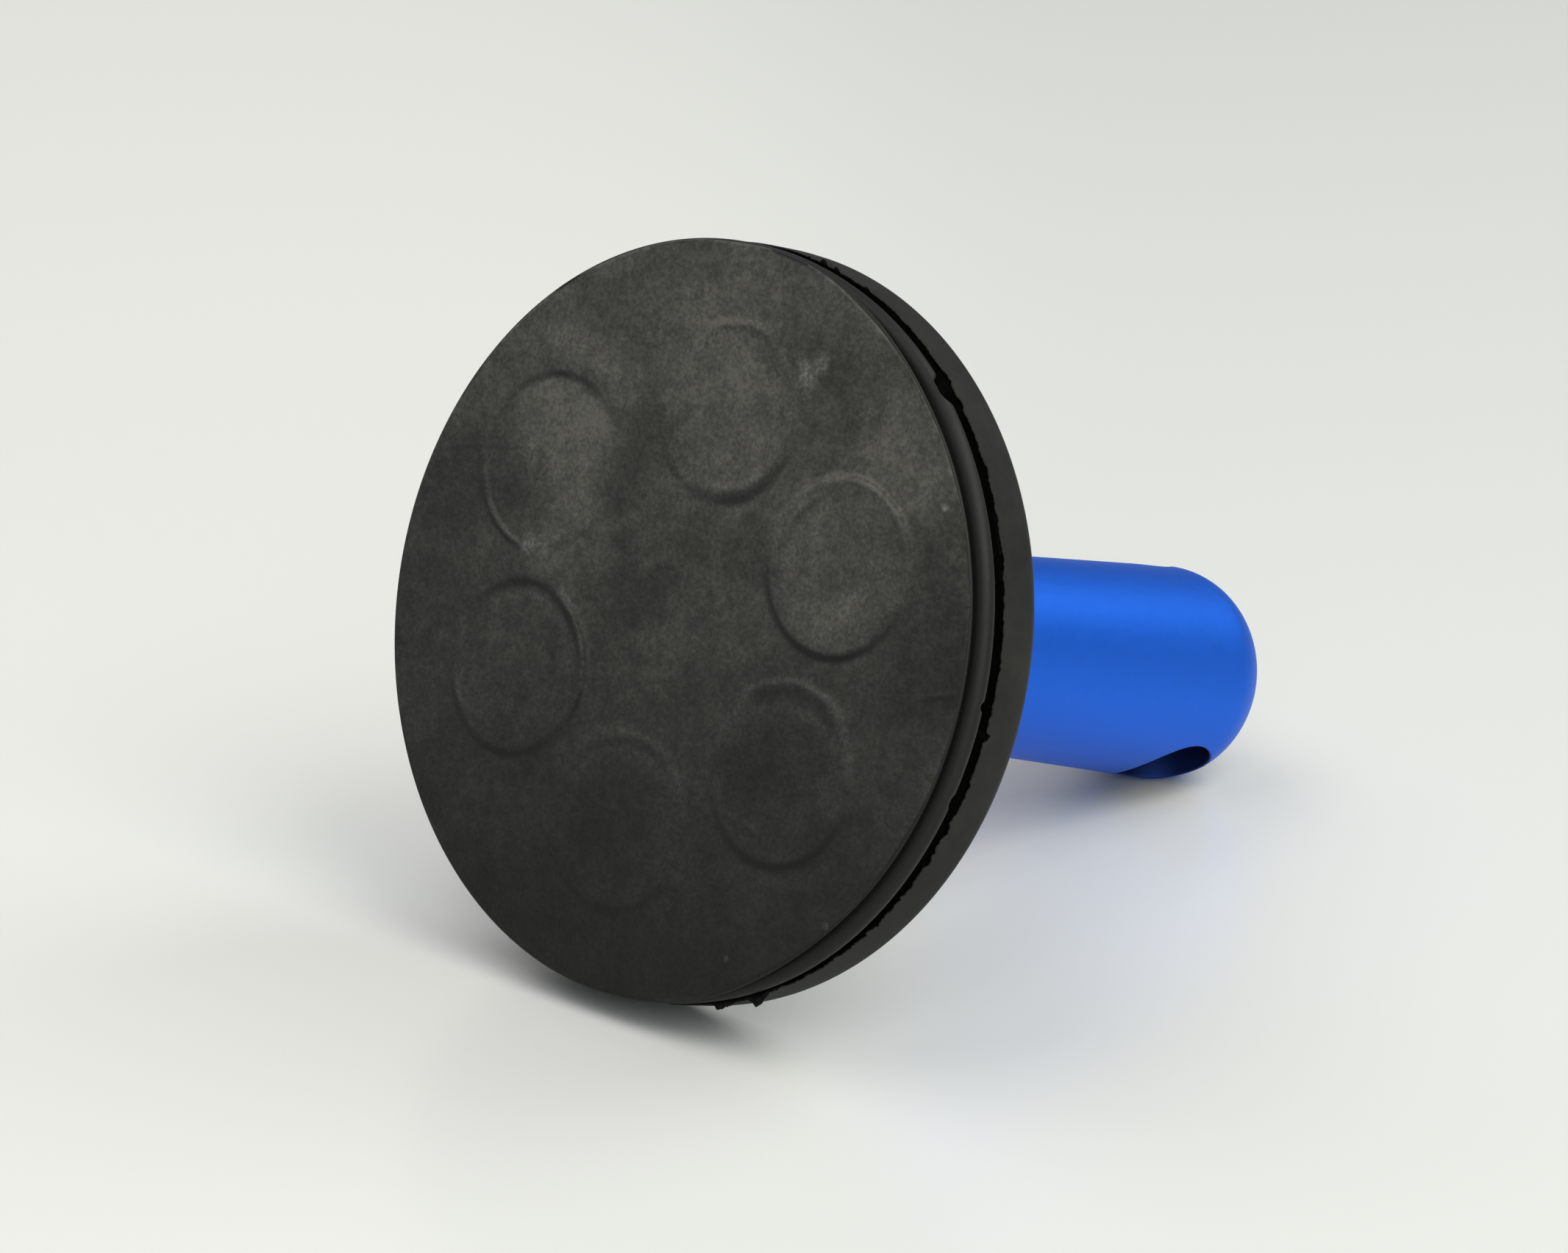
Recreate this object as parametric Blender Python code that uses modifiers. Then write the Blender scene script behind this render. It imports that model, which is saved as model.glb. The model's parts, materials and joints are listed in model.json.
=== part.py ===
"""Hand magnet: six disc magnets under black rubber, with a blue turned handle screwed into the back.

Every piece is modelled along its own +Z, which runs from the rubber face (z = 0) to the handle's free
end. The object lies on its side, so one parent empty leans that axis until the disc's back shoulder and
the handle's rounded end touch the ground together. Metres, world +Z up, ground at z = 0.
"""

import math

import bmesh
import bpy
from mathutils import Vector

MM = 0.001
GAP = 0.3 * MM  # clearance between two pieces that touch on the real object

# Rubber disc. Heights are distances behind the face, radii are from the common axis.
FACE_RADIUS = 20.75 * MM
CREASE_RADIUS = 20.88 * MM
CREASE_DEPTH = 0.35 * MM
BEAD_CENTRE = (20.85 * MM, 0.95 * MM)
BEAD_SEMI_AXES = (0.6 * MM, 0.65 * MM)
BEAD_ANGLE = math.radians(70)
SPLIT_HEIGHT = 1.75 * MM  # where the front cover's rim ends and the groove begins
SKIN = 0.8 * MM  # rubber over the magnets
BAND_RADIUS = 21.3 * MM
SHOULDER_CENTRE = (20.07 * MM, 4.61 * MM)
SHOULDER_RADIUS = 1.2 * MM
BACK_FLAT_RADIUS = 12.0 * MM
BACK_HEIGHT = 6.3 * MM
BACK_SLOPE_START = 18.07 * MM  # radius where the back's gentle slope meets the shoulder's run-out
BACK_SLOPE_HEIGHT = 5.93 * MM

# Magnets
MAGNET_COUNT = 6
MAGNET_RADIUS = 5.0 * MM
MAGNET_THICKNESS = 2.0 * MM
MAGNET_PITCH_RADIUS = 11.85 * MM
MAGNET_START_ANGLE = math.radians(-26.3)
SHIFTED_MAGNET = 3  # this one slipped outward when the rubber was moulded
SHIFT = (-1.5 * MM, -0.05 * MM)
MAGNET_EDGE = 0.2 * MM

# Steel plate and threaded bush
PLATE_RADIUS = 19.0 * MM
PLATE_THICKNESS = 1.5 * MM
PLATE_CHAMFER = 0.25 * MM
BUSH_NOSE_RADIUS = 3.0 * MM
BUSH_NOSE_LENGTH = 0.9 * MM
BUSH_FLANGE_RADIUS = 5.5 * MM
BUSH_BODY_RADIUS = 4.0 * MM
BUSH_FLOOR = 0.8 * MM
BUSH_RECESS = 0.1 * MM  # how far the bush ends below the back cover

# Threaded stud, M4 x 0.7
STUD_RADIUS = 2.0 * MM
THREAD_PITCH = 0.7 * MM
THREAD_DEPTH = 0.42 * MM
THREAD_COUNT = 19
CREST_START = 0.45 * THREAD_PITCH
CREST_END = 0.6 * THREAD_PITCH
STUD_END = 0.5 * MM

# Handle
HANDLE_BASE_RADIUS = 5.1 * MM
HANDLE_END_RADIUS = 6.65 * MM
HANDLE_END_HEIGHT = 50.7 * MM
HANDLE_ROUNDING = 4.1 * MM
HANDLE_BASE_CHAMFER = 0.4 * MM
CORD_HOLE_RADIUS = 3.0 * MM
CORD_HOLE_HEIGHT = 45.0 * MM
CORD_HOLE_TURN = math.radians(30)  # how far the hole is turned away from straight down

# Smoothness. The covers and the handle have few enough sides that the object lies on one without rolling.
SEGMENTS = 48
SMALL_SEGMENTS = 32
STUD_SEGMENTS = 16
BEAD_STEPS = 10
SHOULDER_STEPS = 8
ROUNDING_STEPS = 10
SMOOTH_ANGLE = math.radians(35)
MERGE = 0.01 * MM

# Heights that follow from the dimensions above
MAGNET_BASE = SKIN + GAP
MAGNET_TOP = MAGNET_BASE + MAGNET_THICKNESS
PLATE_BASE = MAGNET_TOP + GAP
PLATE_TOP = PLATE_BASE + PLATE_THICKNESS
BUSH_TOP = BACK_HEIGHT - BUSH_RECESS
FLANGE_BASE = MAGNET_BASE + BUSH_NOSE_LENGTH
BORE_FLOOR = MAGNET_BASE + BUSH_FLOOR
BORE_RADIUS = STUD_RADIUS + GAP
STUD_BASE = BORE_FLOOR + GAP
STUD_TOP = STUD_BASE + 2 * STUD_END + THREAD_COUNT * THREAD_PITCH
HANDLE_BASE = BACK_HEIGHT + GAP


def lean_angle():
    """How far the axis dips below level when the shoulder and the handle's end rest on one plane."""
    end_centre = (HANDLE_END_RADIUS - HANDLE_ROUNDING, HANDLE_END_HEIGHT - HANDLE_ROUNDING)
    across = SHOULDER_CENTRE[0] - end_centre[0]
    along = end_centre[1] - SHOULDER_CENTRE[1]
    between_normals = math.acos((HANDLE_ROUNDING - SHOULDER_RADIUS) / math.hypot(across, along))
    return between_normals - math.atan2(along, across)


def arc(centre, semi_axes, start, end, steps):
    """Points of an ellipse's arc in the (radius, height) plane, both ends included."""
    turns = (start + (end - start) * i / steps for i in range(steps + 1))
    return [(centre[0] + semi_axes[0] * math.cos(t), centre[1] + semi_axes[1] * math.sin(t)) for t in turns]


def clear_scene():
    for obj in list(bpy.data.objects):
        bpy.data.objects.remove(obj)


def new_collection(name):
    collection = bpy.data.collections.new(name)
    bpy.context.scene.collection.children.link(collection)
    return collection


def material(name, colour, roughness, metallic):
    made = bpy.data.materials.new(name)
    made.use_nodes = True
    shader = made.node_tree.nodes["Principled BSDF"]
    shader.inputs["Base Color"].default_value = (*colour, 1.0)
    shader.inputs["Roughness"].default_value = roughness
    shader.inputs["Metallic"].default_value = metallic
    return made


def place(obj, collection, parent, finish):
    """Moves the object into its collection, under the leaning empty, with its own material."""
    for owner in list(obj.users_collection):
        owner.objects.unlink(obj)
    collection.objects.link(obj)
    obj.parent = parent
    if finish:
        obj.data.materials.append(finish)
    obj.data.shade_smooth()
    obj.data.set_sharp_from_angle(angle=SMOOTH_ANGLE)
    return obj


def turned(name, profile, segments, closed=False):
    """A turned piece: (radius, height) points that run down its outer side, spun about Z.

    An open profile starts and ends on the axis. The piece's flat sides touch the true circles from
    outside, and one of them faces the ground.
    """
    widening = 1 / math.cos(math.pi / segments)
    mesh = bpy.data.meshes.new(name)
    outline = bmesh.new()
    points = [outline.verts.new((radius * widening, 0, height)) for radius, height in profile]
    for first, second in zip(points, points[1:]):
        outline.edges.new((first, second))
    if closed:
        outline.edges.new((points[-1], points[0]))
    outline.to_mesh(mesh)
    outline.free()
    obj = bpy.data.objects.new(name, mesh)
    bpy.context.scene.collection.objects.link(obj)
    spin = obj.modifiers.new("spin", "SCREW")
    spin.steps = spin.render_steps = segments
    spin.use_merge_vertices = True
    spin.merge_threshold = MERGE
    obj.rotation_euler.z = math.pi / segments
    return obj


def cylinder(name, radius, low, high, segments):
    """A cylinder primitive that stands between two heights on the axis."""
    bpy.ops.mesh.primitive_cylinder_add(vertices=segments, radius=radius, depth=high - low)
    obj = bpy.context.object
    obj.name = obj.data.name = name
    for vertex in obj.data.vertices:
        vertex.co.z += (low + high) / 2
    return obj


def cut(obj, cutter):
    boolean = obj.modifiers.new(f"cut_{cutter.name}", "BOOLEAN")
    boolean.operation = "DIFFERENCE"
    boolean.solver = "EXACT"
    boolean.object = cutter


def as_cutter(obj, collection, parent):
    place(obj, collection, parent, None)
    obj.hide_render = True
    obj.display_type = "WIRE"
    return obj


def magnet_places():
    """(x, y) of each magnet's centre on the disc."""
    for k in range(MAGNET_COUNT):
        angle = MAGNET_START_ANGLE - k * math.tau / MAGNET_COUNT
        centre = Vector((math.cos(angle), math.sin(angle))) * MAGNET_PITCH_RADIUS
        if k + 1 == SHIFTED_MAGNET:
            centre += Vector(SHIFT)
        yield centre


def front_cover(parts, cutters, axis):
    bead = arc(BEAD_CENTRE, BEAD_SEMI_AXES, BEAD_ANGLE, -BEAD_ANGLE, BEAD_STEPS)
    nose_pocket = BUSH_NOSE_RADIUS + GAP
    flange_pocket = BUSH_FLANGE_RADIUS + GAP
    profile = [
        (0, SKIN),
        (nose_pocket, SKIN),
        (nose_pocket, FLANGE_BASE - GAP),
        (flange_pocket, FLANGE_BASE - GAP),
        (flange_pocket, MAGNET_TOP),
        (PLATE_RADIUS, MAGNET_TOP),
        (PLATE_RADIUS, SPLIT_HEIGHT),
        (bead[0][0], SPLIT_HEIGHT),
        *bead,
        (CREASE_RADIUS, CREASE_DEPTH),
        (FACE_RADIUS, 0),
        (0, 0),
    ]
    rubber = material("front_rubber", (0.036, 0.037, 0.033), 0.62, 0.0)
    cover = place(turned("front_rubber_cover", profile, SEGMENTS), parts, axis, rubber)
    for k, (x, y) in enumerate(magnet_places(), start=1):
        pocket = cylinder(f"pocket_{k}", MAGNET_RADIUS + GAP, SKIN, MAGNET_TOP + MM, SMALL_SEGMENTS)
        pocket.location = (x, y, 0)
        cut(cover, as_cutter(pocket, cutters, axis))


def back_cover(parts, axis):
    shoulder = arc(SHOULDER_CENTRE, (SHOULDER_RADIUS, SHOULDER_RADIUS), math.pi / 2, 0, SHOULDER_STEPS)
    cavity = PLATE_RADIUS + GAP
    hole = BUSH_BODY_RADIUS + GAP
    floor = PLATE_TOP + GAP
    groove = SPLIT_HEIGHT + GAP
    profile = [
        (hole, BACK_HEIGHT),
        (BACK_FLAT_RADIUS, BACK_HEIGHT),
        (BACK_SLOPE_START, BACK_SLOPE_HEIGHT),
        *shoulder,
        (BAND_RADIUS, groove),
        (cavity, groove),
        (cavity, floor),
        (hole, floor),
    ]
    rubber = material("back_rubber", (0.030, 0.031, 0.029), 0.55, 0.0)
    place(turned("back_rubber_cover", profile, SEGMENTS, closed=True), parts, axis, rubber)


def steel_plate(parts, axis):
    hole = BUSH_BODY_RADIUS + GAP
    profile = [
        (hole, PLATE_TOP),
        (PLATE_RADIUS - PLATE_CHAMFER, PLATE_TOP),
        (PLATE_RADIUS, PLATE_TOP - PLATE_CHAMFER),
        (PLATE_RADIUS, PLATE_BASE + PLATE_CHAMFER),
        (PLATE_RADIUS - PLATE_CHAMFER, PLATE_BASE),
        (hole, PLATE_BASE),
    ]
    steel = material("plate_steel", (0.42, 0.43, 0.44), 0.38, 1.0)
    place(turned("steel_back_plate", profile, SEGMENTS, closed=True), parts, axis, steel)


def magnets(parts, axis):
    for k, (x, y) in enumerate(magnet_places(), start=1):
        magnet = cylinder(f"disc_magnet_{k}", MAGNET_RADIUS, MAGNET_BASE, MAGNET_TOP, SMALL_SEGMENTS)
        bevel = magnet.modifiers.new("edge", "BEVEL")
        bevel.width = MAGNET_EDGE
        bevel.segments = 2
        nickel = material(f"magnet_nickel_{k}", (0.60, 0.58, 0.54), 0.22, 1.0)
        place(magnet, parts, axis, nickel)
        magnet.location = (x, y, 0)


def bush(parts, axis):
    profile = [
        (0, BORE_FLOOR),
        (BORE_RADIUS, BORE_FLOOR),
        (BORE_RADIUS, BUSH_TOP),
        (BUSH_BODY_RADIUS, BUSH_TOP),
        (BUSH_BODY_RADIUS, MAGNET_TOP),
        (BUSH_FLANGE_RADIUS, MAGNET_TOP),
        (BUSH_FLANGE_RADIUS, FLANGE_BASE),
        (BUSH_NOSE_RADIUS, FLANGE_BASE),
        (BUSH_NOSE_RADIUS, MAGNET_BASE),
        (0, MAGNET_BASE),
    ]
    zinc = material("bush_zinc", (0.55, 0.55, 0.52), 0.35, 1.0)
    place(turned("threaded_bush", profile, SMALL_SEGMENTS), parts, axis, zinc)


def stud(parts, axis):
    """The thread is drawn as rings, one for each turn."""
    root = STUD_RADIUS - THREAD_DEPTH
    profile = [(0, STUD_TOP), (root, STUD_TOP)]
    for k in range(THREAD_COUNT):
        top = STUD_TOP - STUD_END - k * THREAD_PITCH
        profile += [(root, top), (STUD_RADIUS, top - CREST_START), (STUD_RADIUS, top - CREST_END)]
    profile += [(root, STUD_BASE + STUD_END), (root, STUD_BASE), (0, STUD_BASE)]
    steel = material("stud_steel", (0.50, 0.50, 0.49), 0.30, 1.0)
    place(turned("threaded_stud", profile, STUD_SEGMENTS), parts, axis, steel)


def handle(parts, cutters, axis):
    end_height = HANDLE_END_HEIGHT - HANDLE_ROUNDING
    end_centre = (HANDLE_END_RADIUS - HANDLE_ROUNDING, end_height)
    rounding = arc(end_centre, (HANDLE_ROUNDING, HANDLE_ROUNDING), math.pi / 2, 0, ROUNDING_STEPS)
    bore_floor = STUD_TOP + GAP
    profile = [
        (0, HANDLE_END_HEIGHT),
        *rounding,
        (HANDLE_BASE_RADIUS, HANDLE_BASE + HANDLE_BASE_CHAMFER),
        (HANDLE_BASE_RADIUS - HANDLE_BASE_CHAMFER, HANDLE_BASE),
        (BORE_RADIUS, HANDLE_BASE),
        (BORE_RADIUS, bore_floor),
        (0, bore_floor),
    ]
    anodised = material("blue_anodised_aluminium", (0.014, 0.118, 0.62), 0.33, 0.75)
    grip = place(turned("handle", profile, SEGMENTS), parts, axis, anodised)
    reach = 2 * HANDLE_END_RADIUS
    hole = cylinder("cord_hole", CORD_HOLE_RADIUS, -reach, reach, SMALL_SEGMENTS)
    hole.rotation_euler = (math.pi / 2, 0, -CORD_HOLE_TURN)
    hole.location = (0, 0, CORD_HOLE_HEIGHT)
    cut(grip, as_cutter(hole, cutters, axis))


def set_on_ground(axis, parts):
    """Moves the leaning empty so that the whole object is centred over the origin and touches z = 0."""
    bpy.context.view_layer.update()
    graph = bpy.context.evaluated_depsgraph_get()
    corners = []
    for obj in parts.objects:
        evaluated = obj.evaluated_get(graph)
        mesh = evaluated.to_mesh()
        corners += [evaluated.matrix_world @ vertex.co for vertex in mesh.vertices]
        evaluated.to_mesh_clear()
    low = Vector(min(corner[i] for corner in corners) for i in range(3))
    high = Vector(max(corner[i] for corner in corners) for i in range(3))
    axis.location -= Vector(((low.x + high.x) / 2, (low.y + high.y) / 2, low.z))


def build():
    clear_scene()
    parts = new_collection("hand_magnet")
    cutters = new_collection("cutters")
    axis = bpy.data.objects.new("handle_axis", None)
    axis.rotation_euler.x = -(math.pi / 2 + lean_angle())
    bpy.context.scene.collection.objects.link(axis)
    front_cover(parts, cutters, axis)
    back_cover(parts, axis)
    steel_plate(parts, axis)
    magnets(parts, axis)
    bush(parts, axis)
    stud(parts, axis)
    handle(parts, cutters, axis)
    set_on_ground(axis, parts)


build()
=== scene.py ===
"""Looks of the hand magnet: moulded black rubber disc, satin blue anodised handle, white glossy table.

Shapes are built about the object's own axis, in metres: local x is level across the rubber face, local y
runs down the face and local z runs from the face (z = 0) to the handle's free end. PLACE puts them into
the frame's world.
"""

import json
import math

import bmesh
import bpy
import numpy as np
from mathutils import Matrix, Vector


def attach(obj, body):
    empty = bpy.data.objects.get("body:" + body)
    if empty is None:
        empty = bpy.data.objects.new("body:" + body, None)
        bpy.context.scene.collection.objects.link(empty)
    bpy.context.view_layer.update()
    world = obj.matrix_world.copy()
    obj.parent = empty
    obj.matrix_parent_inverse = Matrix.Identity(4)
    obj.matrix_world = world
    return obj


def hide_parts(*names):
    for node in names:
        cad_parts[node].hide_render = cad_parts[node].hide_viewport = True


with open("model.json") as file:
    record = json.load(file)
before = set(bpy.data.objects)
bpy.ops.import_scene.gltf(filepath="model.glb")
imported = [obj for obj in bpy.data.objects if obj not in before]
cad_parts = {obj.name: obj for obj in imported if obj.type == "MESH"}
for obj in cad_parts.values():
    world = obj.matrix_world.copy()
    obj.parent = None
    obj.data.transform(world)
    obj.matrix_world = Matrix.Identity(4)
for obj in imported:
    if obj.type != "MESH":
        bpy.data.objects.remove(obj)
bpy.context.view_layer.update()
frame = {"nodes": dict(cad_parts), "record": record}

MM = 0.001
TAU = math.tau

# ---------------------------------------------------------------- places taken from the frame

face_mount = frame["record"]["mounts"][0]
FACE = Vector(face_mount["pos_m"])
ALONG = -Vector(face_mount["axis"]).normalized()
ACROSS = Vector((1, 0, 0))
DOWN = ALONG.cross(ACROSS)
PLACE = Matrix.Translation(FACE) @ Matrix((ACROSS, DOWN, ALONG)).transposed().to_4x4()
TO_LOCAL = PLACE.inverted()


def local_points(node):
    """The CAD node's vertices about the object's own axis."""
    return np.array([TO_LOCAL @ vertex.co for vertex in frame["nodes"][node].data.vertices])


def reach(node):
    """(lowest height, highest height, largest radius) of a CAD node about the axis."""
    points = local_points(node)
    return points[:, 2].min(), points[:, 2].max(), np.hypot(points[:, 0], points[:, 1]).max()


BACK_HEIGHT = reach("back_rubber_cover")[1]
_, PLATE_TOP, PLATE_RADIUS = reach("steel_back_plate")
HANDLE_BASE, HANDLE_END, _ = reach("handle")
STUD_BASE, STUD_TOP, STUD_RADIUS = reach("threaded_stud")
MAGNETS = [f"disc_magnet_{k}" for k in range(1, 7)]
MAGNET_CENTRES = [(p.min(0) + p.max(0))[:2] / 2 for p in map(local_points, MAGNETS)]
LOWEST_INSIDE = min(reach(node)[0] for node in ("threaded_stud", "threaded_bush", *MAGNETS))

# ---------------------------------------------------------------- sizes of the fine surface

CLEAR = 0.3 * MM  # between a rubber, handle or bush wall and what it holds
CREASE_ANGLE = math.radians(40)

# Rubber face
FACE_CELLS = 280  # the face's square grid, which also sets the number of points round its rim
FACE_LEVEL = 0.20 * MM  # plain face, behind the highest relief
FACE_RADIUS = 20.66 * MM
FACE_OVERHANG = 0.55 * MM  # the face's edge stands out over the bead on the left half
FACE_EDGE_ROUND = 0.15 * MM
CREASE = ((20.50 * MM, 0.44 * MM), (20.45 * MM, 0.50 * MM), (20.50 * MM, 0.56 * MM))
BEAD_CENTRE = (20.85 * MM, 1.10 * MM)  # as (radius, height), like the crease and the lip
BEAD_SEMI_AXES = (0.58 * MM, 0.56 * MM)
BEAD_SQUASH = 0.20 * MM  # the bead is lower where the face hides it
BEAD_SWAY = 0.012 * MM
BARE_MIDDLE = math.radians(1.5)  # middle of the stretch where the bead shows, from local +x towards the top
BARE_TO_COVERED = (0.76, 0.22)  # cosines of the angles from that middle at which the cover starts and is full
LIP = (20.95 * MM, 1.67 * MM)  # the bead's torn edge, in front of the groove
LIP_TEAR = (0.04 * MM, 0.03 * MM)  # outwards and along the axis
LIP_DEPTH = 0.5 * MM
CAVITY_FLOOR = LOWEST_INSIDE - 0.1 * MM  # the cover is a cup for the magnets, the bush and the stud's tip
MARK_RADIUS = 4.9 * MM
MARK_EDGE = 0.30 * MM

# Rubber back
BACK_POINTS = 2304  # round the back cover
BAND_RADIUS = 21.3 * MM
BAND_START = 2.32 * MM  # the band's torn edge, behind the groove
BAND_TEAR = 0.055 * MM
GROOVE_BACK = BAND_START + 0.55 * MM
SHOULDER_CENTRE = (20.07 * MM, 4.61 * MM)
SHOULDER_RADIUS = 1.2 * MM
BACK_FLAT_RADIUS = 12.0 * MM
BACK_HOLE = 4.3 * MM
BACK_HOLE_CHAMFER = 0.15 * MM

# Torn rubber round the groove: (angle from local +x towards the top, half-width, size), in degrees and mm.
# Chips and notches are bites out of the band's edge and the lip, flash is rubber left over across the groove,
# nibs are lumps that stand out from the band's edge, and the rough stretch has a multiple of the usual tears.
BAND_CHIPS = (
    (51, 1.9, 0.26), (46.5, 1.4, 0.12), (35, 1.5, 0.10), (21.5, 2.4, 0.10), (8, 1.4, 0.07),
    (-4, 0.8, 0.34), (-13, 4.5, 0.10), (-24, 1.2, 0.06), (-38, 3.0, 0.05), (-52, 2.6, 0.06),
    (112, 1.8, 0.14), (141, 2.4, 0.18), (171, 1.6, 0.12), (203, 2.6, 0.20), (238, 1.9, 0.15),
    (262, 1.7, 0.12),
)
FLASH = ((78, 11, 0.40), (-59, 3.5, 0.42), (-66, 6, 0.36), (128, 6, 0.36), (219, 7, 0.38))
NIBS = (
    (80.6, 0.9, 0.23), (77.8, 0.7, 0.18), (71.5, 0.9, 0.12), (-57.8, 0.9, 0.12), (-61.0, 2.7, 0.34),
    (-61.3, 1.4, 0.22), (-64.5, 8.0, 0.13), (-68.2, 2.8, 0.16), (-68.8, 1.4, 0.12), (129, 0.8, 0.20),
    (218, 0.9, 0.20),
)
LIP_NOTCHES = ((48.5, 3.0, 0.8), (0.5, 0.9, 0.20), (-14, 1.4, 0.14), (156, 2.2, 0.4))
ROUGH_STRETCH = (-36, 30, 1.2)

# Handle
HANDLE_POINTS = 192
HANDLE_BASE_RADIUS = 5.1 * MM
HANDLE_END_RADIUS = 6.645 * MM
HANDLE_ROUNDING = 4.1 * MM
HANDLE_CHAMFER = 0.4 * MM
CORD_HOLE_RADIUS = 3.0 * MM
CORD_HOLE_HEIGHT = 45.0 * MM
CORD_HOLE_TURN = math.radians(30)
CORD_HOLE_EDGE = 0.18 * MM
CORD_HOLE_POINTS = 128
BORE_RADIUS = 2.3 * MM

# Stud thread, M4
THREAD_PITCH = 0.7 * MM
THREAD_DEPTH = 0.40 * MM
THREAD_POINTS = 64
THREAD_STEPS = 14  # rings for each turn
THREAD_RUN_OUT = 0.8 * MM
THREAD_FLANK = 2.6  # the flanks' steepness, in depths for each pitch
THREAD_HALF_FOOT = 1.25 / THREAD_FLANK  # half the width of the thread's foot, in pitches

# ---------------------------------------------------------------- mesh helpers


def solid(name, points, faces, place, finish):
    """A smooth-shaded mesh object from points about the object's own axis, set into the world."""
    mesh = bpy.data.meshes.new(name)
    mesh.from_pydata(np.asarray(points).tolist(), [], faces)
    mesh.validate()
    mesh.transform(PLACE @ place)
    made = bmesh.new()
    made.from_mesh(mesh)
    bmesh.ops.recalc_face_normals(made, faces=made.faces)
    made.to_mesh(mesh)
    made.free()
    mesh.shade_smooth()
    mesh.set_sharp_from_angle(angle=CREASE_ANGLE)
    mesh.materials.append(finish)
    obj = bpy.data.objects.new(name, mesh)
    bpy.context.scene.collection.objects.link(obj)
    return obj


def piece(name, points, faces, body, finish, replaced):
    """A solid that rides on its body in place of a CAD node."""
    obj = solid(name, points, faces, Matrix(), finish)
    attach(obj, body)
    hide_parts(replaced)
    return obj


def ring(radius, height, angles):
    """Points of one ring; the radius and the height may be arrays along it."""
    return np.stack([radius * np.cos(angles), radius * np.sin(angles), height + 0 * angles], axis=1)


def bridge(first, second, count):
    """Quads between two rings of points that start at these indices."""
    return [(first + k, first + (k + 1) % count, second + (k + 1) % count, second + k) for k in range(count)]


def lathe(rings, start=0):
    """(points, faces) of a band of rings, each an (n, 3) array, joined in order."""
    count = len(rings[0])
    faces = []
    for k in range(len(rings) - 1):
        faces += bridge(start + k * count, start + (k + 1) * count, count)
    return np.concatenate(rings), faces


def caps(rings, count):
    """The two end faces of a band of this many rings."""
    last = (rings - 1) * count
    return [tuple(range(count)), tuple(range(last, last + count))]


def arc(centre, semi_axes, start, end, steps):
    """Points of an ellipse's arc in the (radius, height) plane, both ends included."""
    turns = np.linspace(start, end, steps + 1)
    return list(zip(centre[0] + semi_axes[0] * np.cos(turns), centre[1] + semi_axes[1] * np.sin(turns)))


def straight(first, second, steps):
    """Points from the first to the second in the (radius, height) plane, both ends included."""
    return [tuple(p) for p in np.linspace(first, second, steps + 1)]


def smoothstep(low, high, value):
    """0 at low and 1 at high; low may be the larger."""
    t = np.clip((value - low) / (high - low), 0, 1)
    return t * t * (3 - 2 * t)


def bumps(angles, places):
    """Sum of smooth bumps round a ring: (angle from local +x towards the top, half-width, size)."""
    total = np.zeros_like(angles)
    for centre, width, size in places:
        away = np.abs((angles + math.radians(centre) + math.pi) % TAU - math.pi)
        total += size * smoothstep(1, 0.3, away / math.radians(width))
    return total


def wander(angles, seed, slowest, fastest, fall):
    """Periodic noise round a ring, about -1 to 1: sines whose strength falls as their frequency rises."""
    draw = np.random.default_rng(seed)
    total = np.zeros_like(angles)
    weight = 0
    frequency = slowest
    while frequency <= fastest:
        strength = (slowest / frequency) ** fall
        total += strength * np.sin(round(frequency) * angles + draw.uniform(0, TAU))
        weight += strength**2
        frequency = max(frequency + 1, frequency * 1.18)
    return total / math.sqrt(weight)


# ---------------------------------------------------------------- materials


NOISE_OFFSET = (0.137, 0.291, 0.173)


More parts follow.
